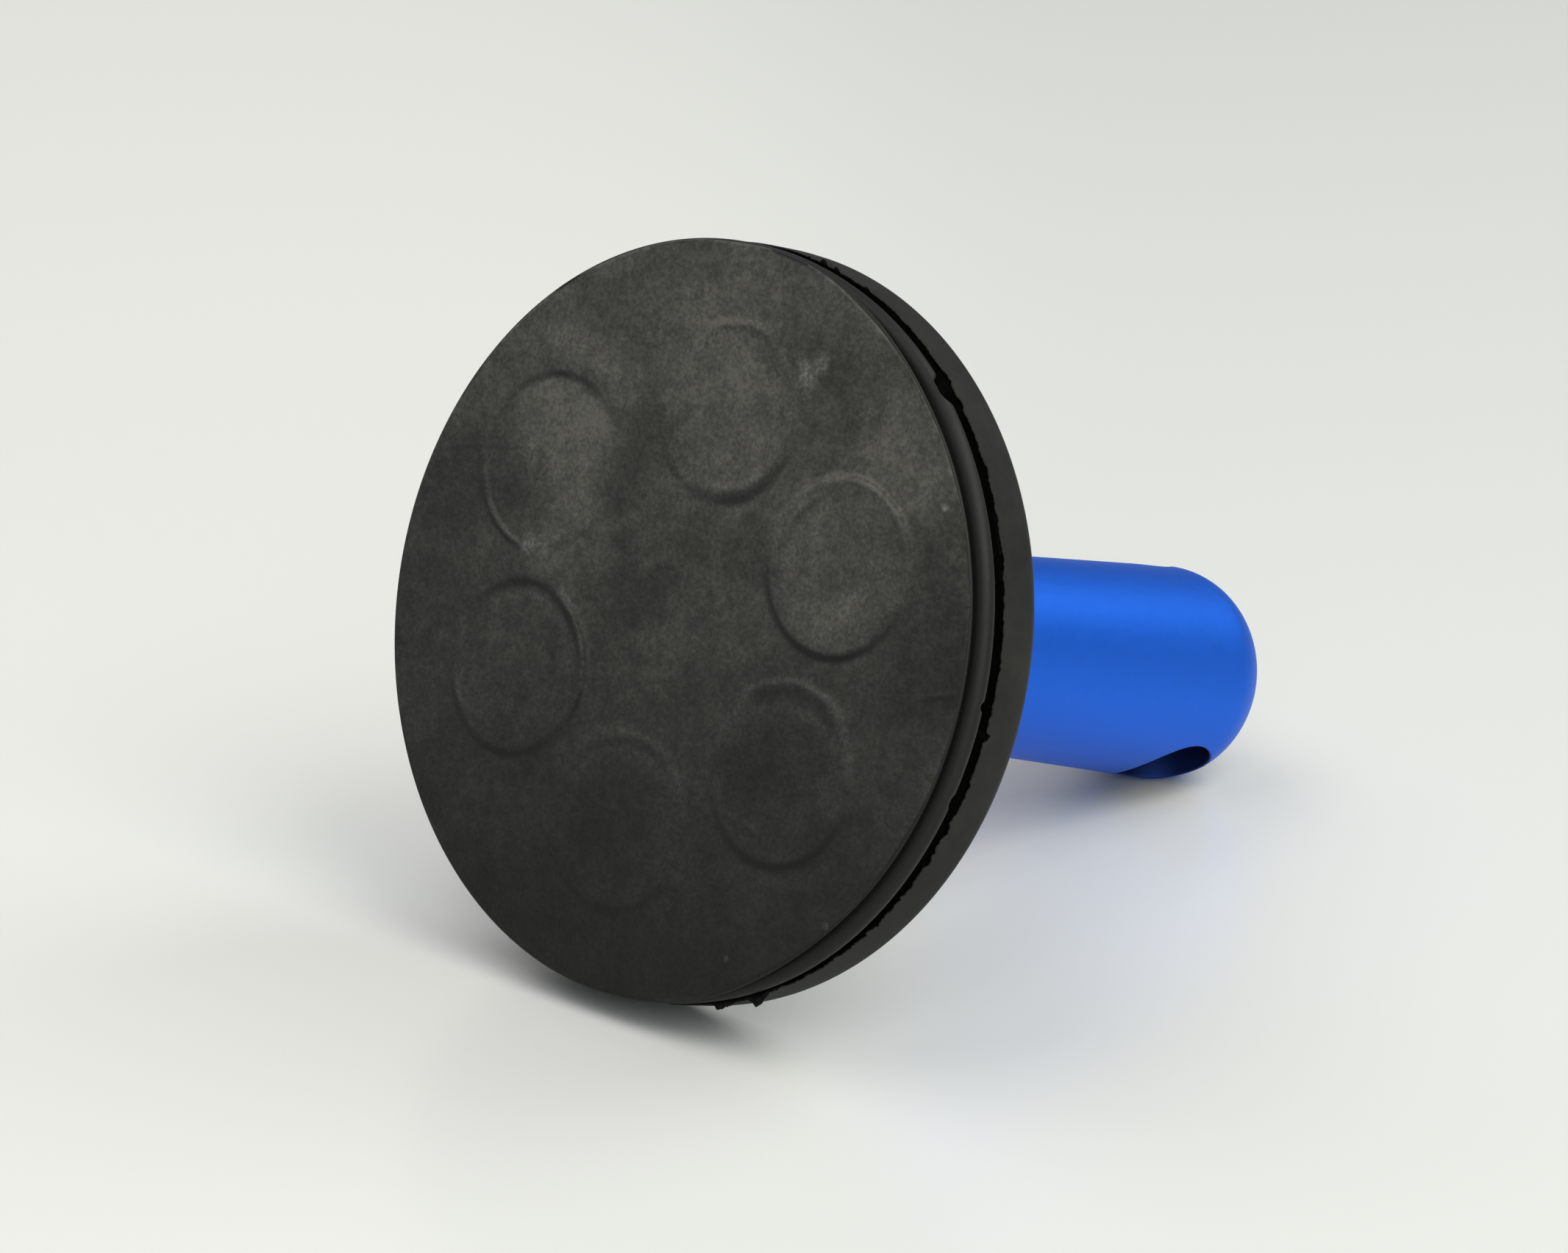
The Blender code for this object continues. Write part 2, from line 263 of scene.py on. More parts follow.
class Nodes:
    """Short names for building a node tree."""

    def __init__(self, name):
        self.material = bpy.data.materials.new(name)
        self.material.use_nodes = True
        self.tree = self.material.node_tree
        self.shader = self.tree.nodes["Principled BSDF"]

    def add(self, kind, inputs=(), **settings):
        node = self.tree.nodes.new(kind)
        for key, value in settings.items():
            setattr(node, key, value)
        for key, value in dict(inputs).items():
            self.put(node.inputs[key], value)
        return node

    def put(self, socket, value):
        if isinstance(value, bpy.types.NodeSocket):
            self.tree.links.new(value, socket)
        else:
            socket.default_value = value

    def math(self, operation, *values, clamp=False):
        node = self.add("ShaderNodeMath", operation=operation, use_clamp=clamp)
        for k, value in enumerate(values):
            self.put(node.inputs[k], value)
        return node.outputs[0]

    def vector(self, operation, *values):
        """The vector result of an operation on vectors."""
        node = self.add("ShaderNodeVectorMath", dict(enumerate(values)), operation=operation)
        return node.outputs["Vector"]

    def measure(self, operation, *values):
        """The number result of an operation on vectors: a length, a distance or a dot product."""
        node = self.add("ShaderNodeVectorMath", dict(enumerate(values)), operation=operation)
        return node.outputs["Value"]

    def noise(self, where, scale, detail=2.0, roughness=0.5):
        """Noise read well away from its own origin, where its octaves line up and would show."""
        away = self.vector("ADD", where, NOISE_OFFSET)
        inputs = {"Vector": away, "Scale": scale, "Detail": detail, "Roughness": roughness}
        return self.add("ShaderNodeTexNoise", inputs).outputs["Fac"]

    def span(self, value, low, high, to_low=0.0, to_high=1.0):
        """The value mapped from low..high to to_low..to_high, clamped."""
        inputs = {"Value": value, "From Min": low, "From Max": high, "To Min": to_low, "To Max": to_high}
        return self.add("ShaderNodeMapRange", inputs).outputs["Result"]

    def mix(self, factor, first, second):
        node = self.add("ShaderNodeMix", data_type="RGBA")
        self.put(node.inputs["Factor"], factor)
        self.put(node.inputs["A"], first)
        self.put(node.inputs["B"], second)
        return node.outputs["Result"]

    def local(self):
        """Coordinates about the object's own axis."""
        where = self.add("ShaderNodeTexCoord").outputs["Object"]
        inputs = {"Vector": where, "Rotation": TO_LOCAL.to_euler(), "Location": TO_LOCAL.translation}
        return self.add("ShaderNodeMapping", inputs).outputs["Vector"]

    def set(self, **values):
        """Values or links for the shader's inputs, whose names are spelt with underscores."""
        for key, value in values.items():
            self.put(self.shader.inputs[key.replace("_", " ")], value)

    def bump(self, height, distance):
        node = self.add("ShaderNodeBump", {"Height": height, "Distance": distance, "Strength": 1.0})
        self.set(Normal=node.outputs["Normal"])


def colour(red, green, blue):
    return (red, green, blue, 1.0)


FACE_BLACK = colour(0.0060, 0.0063, 0.0053)
# Pale grey of the face's dust, also used for the painted light on its top and on slopes facing up.
FACE_DUST_AND_PAINTED_LIGHT = colour(0.091, 0.088, 0.076)
FACE_SCUFF = colour(0.17, 0.165, 0.15)
BAND_BLACK = colour(0.0125, 0.0130, 0.0122)
BAND_GREY = colour(0.0225, 0.0217, 0.0195)
# Near black painted into the groove as painted shade.
GROOVE_SHADE_BLACK = colour(0.0040, 0.0040, 0.0038)
BLUE_DEEP = colour(0.006, 0.107, 0.62)
BLUE_PALE = colour(0.009, 0.129, 0.70)
# Dark blue painted into the cord hole as painted shade.
BLUE_HOLE_SHADE = colour(0.006, 0.020, 0.11)

# Pale rubbed spots on the face: local x and y, radius, strength
SCUFFS = (
    (5.6, -14.9, 1.0, 1.0), (6.4, -15.7, 0.8, 0.8), (16.85, -9.9, 0.30, 1.3), (-11.7, -1.75, 0.75, 1.1),
    (-10.6, -1.8, 0.8, 0.6), (15.2, 13.5, 0.25, 0.5), (9.0, 17.0, 0.25, 0.4),
)

# Broad dusty or clean patches of the face: local x and y, radius, and how much dust they add or take away
PATCHES = (
    (10.6, -5.3, 5.2, 0.75), (0.8, -11.9, 5.0, 0.70), (-10.6, -8.6, 4.6, 0.85), (-8.8, -3.0, 4.0, 0.85),
    (0.0, -17.0, 7.0, 0.15), (13.5, -11.5, 4.5, 0.50), (18.4, -2.0, 4.8, -0.50), (10.0, 6.5, 5.0, -0.25),
    (1.5, -1.0, 4.5, 0.15), (-18.0, -4.0, 4.5, -0.20), (4.5, -4.5, 2.5, -0.25), (-4.5, -9.5, 3.0, -0.2),
    (-1.5, 12.0, 4.5, -0.30), (15.0, 12.0, 5.0, -0.2),
)
PATCH_CORE = 0.45  # share of a patch's radius that has its full strength


def spots(nodes, where, table, start, core):
    """The start value plus the strength of every spot, which fades from its core to its radius."""
    total = start
    for x, y, radius, strength in table:
        away = nodes.measure("DISTANCE", where, (x * MM, y * MM, FACE_LEVEL))
        spot = nodes.span(away, radius * MM, core * radius * MM, 0.0, strength)
        total = nodes.math("ADD", total, spot)
    return total


def face_dust_and_painted_light(nodes, where, height, facing):
    """How pale the face is painted: cloudy, grainy dust plus painted light, paler towards the top and on
    slopes facing up, darker on slopes facing down.
    """
    # Painted light: the face is painted paler towards its top, as if lit from above.
    painted_top_light = nodes.span(height, 18 * MM, -14 * MM, 0.16, 1.0)
    clouds = nodes.span(nodes.noise(where, 170, 6, 0.72), 0.36, 0.66, 0.50, 1.0)
    mottle = nodes.span(nodes.noise(where, 1100, 4, 0.75), 0.36, 0.64, 0.62, 1.0)
    grit = nodes.span(nodes.noise(where, 4200, 3, 0.7), 0.40, 0.62, 0.60, 1.06)
    # Painted shade and highlight: slopes facing up are painted paler and slopes facing down darker, so the
    # relief looks lit from above.
    painted_ledge_light = nodes.span(nodes.measure("DOT_PRODUCT", facing, -DOWN), -0.21, 0.21, 0.0, 2.0)
    dust_and_painted_light = painted_top_light
    for factor in (clouds, mottle, grit, painted_ledge_light, spots(nodes, where, PATCHES, 1.0, PATCH_CORE)):
        dust_and_painted_light = nodes.math("MULTIPLY", dust_and_painted_light, factor)
    return dust_and_painted_light


def face_rubber():
    """Moulded rubber: a pimpled and dusty face with pale scuffs and painted light from above, and a clean
    bead.
    """
    nodes = Nodes("face_rubber")
    where = nodes.local()
    parts = nodes.add("ShaderNodeSeparateXYZ", {"Vector": where}).outputs
    facing = nodes.add("ShaderNodeTexCoord").outputs["Normal"]
    square = nodes.span(nodes.measure("DOT_PRODUCT", facing, -ALONG), 0.93, 0.985)
    flat = nodes.math("MULTIPLY", nodes.span(parts["Z"], 0.50 * MM, 0.40 * MM), square)
    dust_and_painted_light = nodes.math("MULTIPLY", face_dust_and_painted_light(nodes, where, parts["Y"], facing), flat)
    specks = nodes.span(nodes.noise(where, 4200, 3, 0.7), 0.46, 0.66, 0.25, 1.0)
    rubbed = nodes.math("MULTIPLY", spots(nodes, where, SCUFFS, 0.0, 0.0), specks, clamp=True)
    rubbed = nodes.math("MULTIPLY", rubbed, flat)
    # Black rubber, paler where dust and painted light lie, with the pale scuffs on top.
    nodes.set(Base_Color=nodes.mix(rubbed, nodes.mix(dust_and_painted_light, FACE_BLACK, FACE_DUST_AND_PAINTED_LIGHT), FACE_SCUFF))
    uneven = nodes.span(nodes.noise(where, 260, 3, 0.6), 0.3, 0.7, 0.44, 0.54)
    nodes.set(Roughness=nodes.math("ADD", uneven, nodes.span(flat, 0.0, 1.0, 0.05, 0.0)))
    nodes.set(Specular_IOR_Level=0.22)
    pimples = nodes.add("ShaderNodeTexVoronoi", {"Vector": where, "Scale": 4300, "Randomness": 1.0})
    grain = nodes.math("MULTIPLY", nodes.span(pimples.outputs["Distance"], 0.0, 0.75, 1.0, 0.0), flat)
    coarse = nodes.span(nodes.noise(where, 330, 2, 0.5), 0.42, 0.62, 0.25, 1.0)
    both = nodes.math("ADD", nodes.math("MULTIPLY", grain, coarse), nodes.noise(where, 2600, 3, 0.6))
    nodes.bump(both, 0.020 * MM)
    return nodes.material


def band_rubber():
    """Smooth, slightly cloudy rubber, painted near black inside the groove as painted shade."""
    nodes = Nodes("band_rubber")
    where = nodes.local()
    parts = nodes.add("ShaderNodeSeparateXYZ", {"Vector": where}).outputs
    across = nodes.add("ShaderNodeCombineXYZ", {"X": parts["X"], "Y": parts["Y"]}).outputs["Vector"]
    # Painted shade: the walls inside the groove are painted near black, as the recess lies in shade.
    inside = nodes.span(nodes.measure("LENGTH", across), BAND_RADIUS - 0.03 * MM, BAND_RADIUS - 0.10 * MM)
    groove = nodes.math("MULTIPLY", inside, nodes.span(parts["Z"], 3.2 * MM, 3.0 * MM))
    clouds = nodes.noise(where, 240, 6, 0.75)
    base = nodes.mix(nodes.span(clouds, 0.35, 0.7), BAND_BLACK, BAND_GREY)
    nodes.set(Base_Color=nodes.mix(groove, base, GROOVE_SHADE_BLACK))
    nodes.set(Roughness=nodes.span(clouds, 0.3, 0.7, 0.50, 0.60), Specular_IOR_Level=0.07)
    nodes.bump(nodes.noise(where, 3800, 3, 0.6), 0.006 * MM)
    return nodes.material


def metal(name, base, roughness, scale):
    """Bare or plated metal, clouded by handling."""
    nodes = Nodes(name)
    marks = nodes.noise(nodes.add("ShaderNodeTexCoord").outputs["Object"], scale, 3, 0.6)
    dull = colour(*(value * 0.8 for value in base))
    nodes.set(Base_Color=nodes.mix(nodes.span(marks, 0.3, 0.7), colour(*base), dull), Metallic=1.0)
    nodes.set(Roughness=nodes.span(marks, 0.3, 0.7, roughness * 0.8, roughness * 1.2))
    return nodes.material


def anodised():
    """Satin blue anodised aluminium: faint turning lines round the axis, and painted shade that darkens the
    cord hole's walls.
    """
    nodes = Nodes("satin_blue")
    where = nodes.local()
    parts = nodes.add("ShaderNodeSeparateXYZ", {"Vector": where})
    along = nodes.add("ShaderNodeCombineXYZ", {"Z": parts.outputs["Z"]}).outputs["Vector"]
    lines = nodes.noise(along, 9000, 2, 0.6)
    mottle = nodes.noise(where, 2200, 3, 0.6)
    middle, along_hole = (0, 0, CORD_HOLE_HEIGHT), (math.sin(CORD_HOLE_TURN), math.cos(CORD_HOLE_TURN), 0)
    off_axis = nodes.vector("CROSS_PRODUCT", nodes.vector("SUBTRACT", where, middle), along_hole)
    off_axis = nodes.measure("LENGTH", off_axis)
    # Painted shade: the cord hole's walls are painted dark blue, as the hole lies in shade.
    hole_shade = nodes.span(off_axis, CORD_HOLE_RADIUS + 0.16 * MM, CORD_HOLE_RADIUS + 0.02 * MM)
    nodes.set(Base_Color=nodes.mix(hole_shade, nodes.mix(mottle, BLUE_DEEP, BLUE_PALE), BLUE_HOLE_SHADE))
    nodes.set(Metallic=0.85, Specular_IOR_Level=0.5)
    nodes.set(Roughness=nodes.span(mottle, 0.3, 0.7, 0.47, 0.51))
    nodes.bump(nodes.math("ADD", lines, nodes.math("MULTIPLY", mottle, 0.2)), 0.004 * MM)
    return nodes.material


# ---------------------------------------------------------------- front cover


def disc_grid(cells):
    """A square grid drawn into the unit disc: (x, y) arrays of (cells + 1) squared points."""
    t = np.linspace(-1, 1, cells + 1)
    a, b = (grid.ravel() for grid in np.meshgrid(t, t, indexing="ij"))
    wide = np.abs(a) > np.abs(b)
    radius = np.where(wide, a, b)
    turn = np.where(wide, math.pi / 4 * b / np.where(wide, a, 1), 0)
    turn = np.where(wide | (b == 0), turn, math.pi / 2 - math.pi / 4 * a / np.where(b == 0, 1, b))
    return radius * np.cos(turn), radius * np.sin(turn)


def grid_boundary(cells):
    """Indices of the grid's outer points in order of their angle from local +x."""
    side = cells + 1
    right = [cells * side + j for j in range(side)]
    top = [i * side + cells for i in range(cells - 1, -1, -1)]
    left = [j for j in range(cells - 1, -1, -1)]
    bottom = [i * side for i in range(1, cells)]
    turned = right + top + left + bottom
    half = cells // 2
    return turned[half:] + turned[:half]


# Marks over magnets 1 to 6: rise, dish, tilt to the right, tilt downwards, and arcs. An arc is a ridge or a
# valley: (angle from local +x towards the top, half-angle, radius, half-width, height). Degrees and mm.
MARKS = (
    (0.105, 0.08, 0.0, 0.01, (
        (150, 32, 4.15, 0.18, 0.05), (-5, 48, 5.9, 0.5, -0.05), (80, 75, 4.9, 0.22, 0.035),
    )),
    (0.045, 0.04, 0.0, 0.00, (
        (-50, 62, 4.35, 0.28, 0.05), (-42, 45, 5.2, 0.3, -0.035), (95, 38, 5.0, 0.24, 0.05),
        (30, 26, 5.3, 0.35, 0.05), (0, 18, 3.7, 0.2, -0.04),
    )),
    (-0.012, -0.02, 0.02, 0.040, (
        (75, 50, 6.0, 1.0, 0.075), (80, 36, 4.3, 0.8, -0.03), (222, 48, 5.2, 0.2, 0.07),
    )),
    (0.030, 0.02, 0.0, 0.070, (
        (20, 62, 5.0, 0.32, 0.13), (105, 50, 4.5, 0.5, -0.06), (195, 38, 4.7, 0.2, 0.05),
        (5, 40, 2.6, 0.3, -0.04),
    )),
    (0.048, 0.03, 0.0, 0.015, (
        (95, 60, 5.0, 0.28, 0.03), (90, 50, 4.3, 0.34, -0.02), (85, 60, 2.0, 0.2, -0.012),
    )),
    (0.085, 0.05, 0.01, 0.03, (
        (95, 58, 5.1, 0.28, 0.07), (85, 62, 4.2, 0.46, -0.040), (-30, 45, 5.7, 0.4, -0.04),
        (250, 12, 3.4, 0.2, 0.04),
    )),
)
CENTRE_MARK = ((150, 55, 3.3, 0.45, 0.045), (15, 55, 3.2, 0.40, 0.035))
SCRATCH = ((18.4, 0.1), (20.2, -0.5), 0.10, 0.03)  # its two ends, half-width and height
FACE_WAVES = 22
FACE_WAVE_HEIGHT = 0.016 * MM


def arcs_relief(x, y, arcs):
    """Ridges and valleys along arcs round (0, 0)."""
    total = np.zeros_like(x)
    away = np.hypot(x, y) / MM
    clock = np.arctan2(-y, x)
    for centre, half, radius, width, height in arcs:
        turn = np.abs((clock - math.radians(centre) + math.pi) % TAU - math.pi) / math.radians(half)
        total += height * np.exp(-(((away - radius) / width) ** 2)) * smoothstep(1, 0.45, turn)
    return total * MM


def face_waves(x, y):
    """Shallow waves all over the face."""
    draw = np.random.default_rng(21)
    total = np.zeros_like(x)
    for _ in range(FACE_WAVES):
        length, heading, start = draw.uniform(3.0, 11.0) * MM, draw.uniform(0, TAU), draw.uniform(0, TAU)
        along = (x * math.cos(heading) + y * math.sin(heading)) * TAU / length
        total += np.sin(along + start) * length / (6 * MM)
    return total * FACE_WAVE_HEIGHT / math.sqrt(FACE_WAVES)


def face_relief(x, y):
    """How far the rubber stands out over the magnets and the bush."""
    total = face_waves(x, y)
    for (cx, cy), (rise, dish, across, down, arcs) in zip(MAGNET_CENTRES, MARKS):
        u = (x - cx) / MARK_RADIUS
        v = (y - cy) / MARK_RADIUS
        away = np.hypot(u, v)
        edge = MARK_EDGE / MARK_RADIUS
        inside = smoothstep(1 + edge, 1 - edge, away)
        bowl = np.clip(1 - away**2, 0, 1)
        total += inside * (rise - dish * bowl + across * u + down * v) * MM
        total += arcs_relief(x - cx, y - cy, arcs)
    start, end, width, height = SCRATCH
    run = np.subtract(end, start)
    share = np.clip(((x / MM - start[0]) * run[0] + (y / MM - start[1]) * run[1]) / (run @ run), 0, 1)
    away = np.hypot(x / MM - start[0] - share * run[0], y / MM - start[1] - share * run[1])
    total += height * MM * np.exp(-((away / width) ** 2))
    return total + arcs_relief(x, y, CENTRE_MARK)


def covered(angles):
    """0 where the bead stands clear of the face's edge and 1 where the edge hides it."""
    return smoothstep(*BARE_TO_COVERED, np.cos(angles + BARE_MIDDLE))


def face_outline(angles):
    """Radius of the flat face, inside its rounded edge."""
    return FACE_RADIUS + FACE_OVERHANG * covered(angles) - FACE_EDGE_ROUND


def edge_rings(angles):
    """Rings from the face's rounded edge over the bead and the torn lip to the floor of the cup."""
    sway = wander(angles, 3, 2, 40, 0.8)
    torn = wander(angles, 5, 60, 420, 0.45)
    notch = bumps(angles, LIP_NOTCHES) * MM
    outline = face_outline(angles)
    squash = BEAD_SQUASH * covered(angles)
    rings = []
    for turn in np.radians((-70, -50, -30, -12, 5, 25)):
        height = FACE_LEVEL + FACE_EDGE_ROUND * (1 + math.sin(turn))
        rings.append(ring(outline + FACE_EDGE_ROUND * math.cos(turn), height, angles))
    bead = arc(BEAD_CENTRE, BEAD_SEMI_AXES, math.radians(-105), math.radians(80), 24)
    for radius, height in [*CREASE, *bead, LIP]:
        moved = (BEAD_SWAY * sway - squash) * smoothstep(0.4 * MM, 1.0 * MM, height)
        tear = torn * smoothstep(1.4 * MM, LIP[1], height)
        bite = notch * smoothstep(0.6 * MM, LIP[1], height)
        radius = radius + moved + LIP_TEAR[0] * tear - 0.3 * bite
        rings.append(ring(radius, height + LIP_TEAR[1] * tear - bite, angles))
    back = LIP[1] + 0.02 * MM
    rings.append(ring(LIP[0] - LIP_DEPTH, back - 0.9 * notch, angles))
    rings.append(ring(PLATE_RADIUS, back, angles))
    rings.append(ring(PLATE_RADIUS, CAVITY_FLOOR, angles))
    return rings


def front_cover(finish):
    """The face as a fine grid, then the rings round its edge."""
    x, y = disc_grid(FACE_CELLS)
    outline = face_outline(np.arctan2(y, x))
    x, y = x * outline, y * outline
    face = np.stack([x, y, FACE_LEVEL - face_relief(x, y)], axis=1)
    side = FACE_CELLS + 1
    corners = [i * side + j for i in range(FACE_CELLS) for j in range(FACE_CELLS)]
    faces = [(k, k + 1, k + side + 1, k + side) for k in corners]
    boundary = grid_boundary(FACE_CELLS)
    rings = edge_rings(np.arctan2(y[boundary], x[boundary]))
    points, more = lathe(rings, start=len(face))
    faces += more
    count = len(boundary)
    first = len(face)
    last = first + (len(rings) - 1) * count
    for k in range(count):
        after = (k + 1) % count
        faces.append((boundary[k], boundary[after], first + after, first + k))
    faces.append(tuple(range(last, last + count)))
    points = np.concatenate([face, points])
    return piece("front_cover", points, faces, "magnet", finish, "front_rubber_cover")


# ---------------------------------------------------------------- back cover


def back_cover(finish):
    """The groove's back wall, the band with its torn front edge, the shoulder and the sloping back."""
    angles = np.arange(BACK_POINTS) * TAU / BACK_POINTS
    torn = wander(angles, 11, 60, 460, 0.45)
    frayed = wander(angles, 12, 120, 700, 0.2)
    flash = bumps(angles, FLASH) * (0.75 + 0.25 * torn) * MM
    nib = bumps(angles, NIBS) * MM
    tear = BAND_TEAR * torn * (1 + bumps(angles, [ROUGH_STRETCH]) + 1.2 * flash / MM)
    edge = BAND_START + tear + bumps(angles, BAND_CHIPS) * MM - flash - 0.35 * nib
    jut = nib + 0.10 * flash * frayed
    shoulder = arc(SHOULDER_CENTRE, (SHOULDER_RADIUS,) * 2, 0, math.pi / 2, 12)
    shoulder_start = shoulder[0][1]
    inner = PLATE_RADIUS + CLEAR
    rings = [  # the recess over the plate, then the groove's undercut wall, then the torn edge and its lumps
        ring(inner, PLATE_TOP + CLEAR, angles),
        ring(inner, GROOVE_BACK, angles),
        ring(BAND_RADIUS - 0.75 * MM, GROOVE_BACK, angles),
        ring(BAND_RADIUS - 0.34 * MM, np.maximum(edge, BAND_START - 0.1 * MM) + 0.36 * MM, angles),
        ring(BAND_RADIUS - 0.17 * MM + 0.5 * jut, edge + 0.10 * MM + 0.02 * MM * frayed, angles),
        ring(BAND_RADIUS - 0.06 * MM + jut, edge + 0.01 * MM, angles),
        ring(BAND_RADIUS + 0.9 * jut, edge + 0.05 * MM, angles),
        ring(BAND_RADIUS + 0.45 * jut, edge + 0.22 * MM + 0.1 * nib, angles),
    ]
    for t in (0.25, 0.4, 0.6, 0.8):
        rings.append(ring(BAND_RADIUS, np.maximum(edge, BAND_START) * (1 - t) + shoulder_start * t, angles))
    back = [
        *shoulder,
        *straight(shoulder[-1], (BACK_FLAT_RADIUS, BACK_HEIGHT), 8)[1:],
        (BACK_HOLE + BACK_HOLE_CHAMFER, BACK_HEIGHT),
        (BACK_HOLE, BACK_HEIGHT - BACK_HOLE_CHAMFER),
        (BACK_HOLE, PLATE_TOP + CLEAR),
    ]
    rings += [ring(radius, height, angles) for radius, height in back]
    points, faces = lathe(rings)
    faces += bridge((len(rings) - 1) * BACK_POINTS, 0, BACK_POINTS)
    return piece("back_cover", points, faces, "magnet", finish, "back_rubber_cover")


# ---------------------------------------------------------------- handle


def handle_radius(height):
    """The handle's outer radius at a height, from the flared side to the rounded end."""
    centre = HANDLE_END - HANDLE_ROUNDING
    share = (height - HANDLE_BASE) / (centre - HANDLE_BASE)
    flare = HANDLE_BASE_RADIUS + (HANDLE_END_RADIUS - HANDLE_BASE_RADIUS) * share
    over = np.clip(height - centre, 0, HANDLE_ROUNDING)
    rounded = HANDLE_END_RADIUS - HANDLE_ROUNDING + np.sqrt(HANDLE_ROUNDING**2 - over**2)
    return np.where(height > centre, rounded, flare)


def cord_hole(finish):
    """A cutter through the handle's end: a round hole whose two mouths have rounded edges.

    Its rings run along local y from one mouth to the other and follow the handle's surface.
    """
    angles = np.arange(CORD_HOLE_POINTS) * TAU / CORD_HOLE_POINTS
    turns = np.radians((0, 15, 30, 45, 60, 72))
    mouth = []
    for turn in turns:
        radius = CORD_HOLE_RADIUS + CORD_HOLE_EDGE * (1 - math.cos(turn))
        surface = handle_radius(CORD_HOLE_HEIGHT + radius * np.cos(angles))
        depth = np.sqrt(surface**2 - (radius * np.sin(angles)) ** 2) - CORD_HOLE_EDGE * (1 - math.sin(turn))
        mouth.append((radius, depth))
    slope = math.tan(turns[-1])
    outer = mouth[-1][0] + MM / slope
    mouth.append((outer, mouth[-1][1] + MM))
    rings = []
    for side, level in [(-1, pair) for pair in reversed(mouth)] + [(1, pair) for pair in mouth]:
        radius, depth = level
        rings.append(np.stack([radius * np.sin(angles), side * depth, radius * np.cos(angles)], axis=1))
    points, faces = lathe(rings)
    faces += caps(len(rings), CORD_HOLE_POINTS)
    place = Matrix.Translation((0, 0, CORD_HOLE_HEIGHT)) @ Matrix.Rotation(-CORD_HOLE_TURN, 4, "Z")
    return solid("cord_hole", points, faces, place, finish)


def handle(finish):
    """The blue grip: a bore for the stud, a flared side, a rounded end and the cross hole."""
    angles = np.arange(HANDLE_POINTS) * TAU / HANDLE_POINTS
    centre = HANDLE_END - HANDLE_ROUNDING
    middle = (HANDLE_END_RADIUS - HANDLE_ROUNDING, centre)
    rounding = arc(middle, (HANDLE_ROUNDING,) * 2, 0, math.pi / 2, 24)
    profile = [
        (BORE_RADIUS, STUD_TOP + CLEAR),
        (BORE_RADIUS, HANDLE_BASE + CLEAR),
        (BORE_RADIUS + CLEAR, HANDLE_BASE),
        (HANDLE_BASE_RADIUS - HANDLE_CHAMFER, HANDLE_BASE),
        *straight((HANDLE_BASE_RADIUS, HANDLE_BASE + HANDLE_CHAMFER), rounding[0], 60),
        *rounding[1:],
    ]
    points, faces = lathe([ring(radius, height, angles) for radius, height in profile])
    faces += caps(len(profile), HANDLE_POINTS)
    grip = piece("grip", points, faces, "handle", finish, "handle")
    hole = cord_hole(finish)
    cut = grip.modifiers.new("cord_hole", "BOOLEAN")
    cut.object = hole
    cut.solver = "EXACT"
    bpy.context.view_layer.update()
    mesh = bpy.data.meshes.new_from_object(grip.evaluated_get(bpy.context.evaluated_depsgraph_get()))
    grip.modifiers.clear()
    grip.data = mesh
    mesh.set_sharp_from_angle(angle=CREASE_ANGLE)
    bpy.data.objects.remove(hole)
    return grip


# ---------------------------------------------------------------- stud


def stud(finish):
    """A right-hand screw thread: one grid whose radius winds with the height."""
    angles = np.arange(THREAD_POINTS) * TAU / THREAD_POINTS
    count = round((STUD_TOP - STUD_BASE) / THREAD_PITCH * THREAD_STEPS)
    rings = []
    for height in np.linspace(STUD_BASE, STUD_TOP, count + 1):
        phase = (height / THREAD_PITCH - angles / TAU) % 1
        crest = np.clip(THREAD_FLANK * (THREAD_HALF_FOOT - np.abs(phase - 0.5)), 0, 1)
        full = smoothstep(0, THREAD_RUN_OUT, min(height - STUD_BASE, STUD_TOP - height))
        rings.append(ring(STUD_RADIUS - THREAD_DEPTH + THREAD_DEPTH * crest * full, height, angles))
    points, faces = lathe(rings)
    faces += caps(len(rings), THREAD_POINTS)
    return piece("stud", points, faces, "stud", finish, "threaded_stud")


# ---------------------------------------------------------------- stage, lights and camera

CAMERA_SPOT = FACE + Vector((187.34, -199.43, 97.02)) * MM
CAMERA_AZIMUTH = math.radians(41.897)
CAMERA_ELEVATION = math.radians(19.614)
CAMERA_LENS = 120.57


def camera():
    data = bpy.data.cameras.new("camera")
    data.sensor_width = 36
    data.lens = CAMERA_LENS
    data.clip_start = 0.01
    data.clip_end = 20
    obj = bpy.data.objects.new("camera", data)
    bpy.context.scene.collection.objects.link(obj)
    obj.location = CAMERA_SPOT
    obj.rotation_euler = (math.pi / 2 - CAMERA_ELEVATION, 0, CAMERA_AZIMUTH)
    bpy.context.scene.camera = obj


TABLE_SIZE = 6
TABLE_WHITE = colour(0.60, 0.605, 0.58)


def table_top():
    """A white glossy table that ends far behind the object."""
    nodes = Nodes("table_white")
    nodes.set(Base_Color=TABLE_WHITE, Roughness=0.28)
    bpy.ops.mesh.primitive_plane_add(size=TABLE_SIZE)
    floor = bpy.context.object
    floor.name = floor.data.name = "table_top"
    floor.data.materials.append(nodes.material)


LIGHT_DISTANCE = 1.0
ROOM = colour(0.145, 0.168, 0.182)

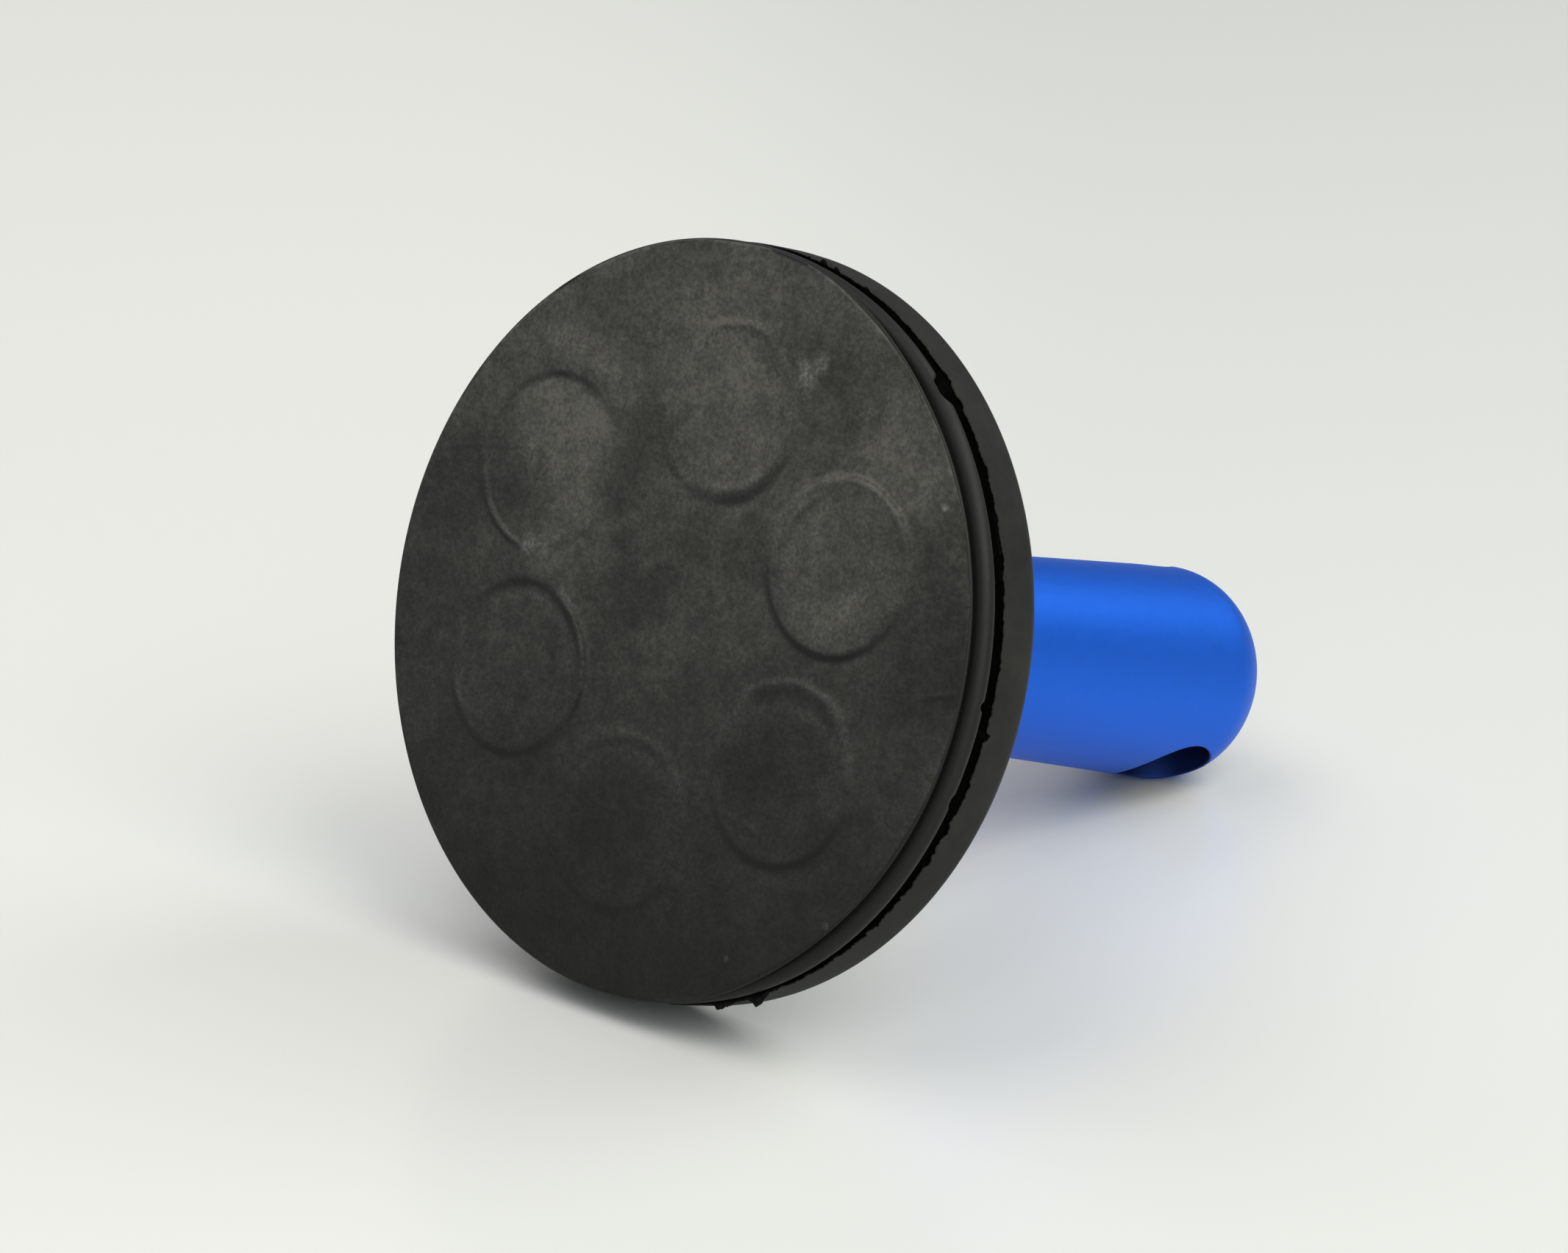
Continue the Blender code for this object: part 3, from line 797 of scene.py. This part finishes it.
# Round soft lights aimed at the object: name, azimuth from world +Y towards +X, elevation, size, and the
# power in watts of red, green and blue
LIGHTS = (
    ("front_right", 120, 32, 1.3, (8.65, 9.0, 9.15)),
    ("front_left_high", 215, 66, 0.7, (2.55, 2.4, 2.4)),
    ("right_high", 90, 50, 0.7, (5.1, 4.85, 4.3)),
    ("back_high", 30, 45, 0.7, (4.8, 4.95, 4.7)),
    ("left_high", 270, 48, 0.7, (2.45, 2.35, 2.6)),
    ("back_low", 300, 20, 0.7, (0.60, 0.55, 0.45)),
)


def lights():
    """Soft lights all round and above, strongest at the right front, in a dim bluish room."""
    world = bpy.data.worlds.new("room")
    world.use_nodes = True
    world.node_tree.nodes["Background"].inputs["Color"].default_value = ROOM
    world.node_tree.nodes["Background"].inputs["Strength"].default_value = 1.0
    bpy.context.scene.world = world
    for name, azimuth, elevation, size, power in LIGHTS:
        data = bpy.data.lights.new(name, "AREA")
        data.shape = "DISK"
        data.size = size
        data.energy = max(power)
        data.color = [part / max(power) for part in power]
        obj = bpy.data.objects.new(name, data)
        bpy.context.scene.collection.objects.link(obj)
        level = math.cos(math.radians(elevation))
        turn = math.radians(azimuth)
        spot = Vector((math.sin(turn) * level, math.cos(turn) * level, math.sin(math.radians(elevation))))
        obj.location = spot * LIGHT_DISTANCE
        obj.rotation_euler = (-spot).to_track_quat("-Z", "Y").to_euler()


def build():
    """The stage, the fine pieces, and finishes for the CAD pieces that stay."""
    bpy.context.scene.view_settings.view_transform = "Standard"
    camera()
    table_top()
    lights()
    front_cover(face_rubber())
    back_cover(band_rubber())
    handle(anodised())
    zinc = metal("zinc_plate", (0.62, 0.61, 0.57), 0.32, 900)
    steel = metal("bare_steel", (0.45, 0.45, 0.46), 0.38, 1400)
    stud(steel)
    nickel = metal("nickel_plate", (0.66, 0.62, 0.55), 0.20, 700)
    finishes = {"threaded_bush": zinc, "steel_back_plate": steel, **dict.fromkeys(MAGNETS, nickel)}
    for node, finish in finishes.items():
        frame["nodes"][node].data.materials.clear()
        frame["nodes"][node].data.materials.append(finish)


build()
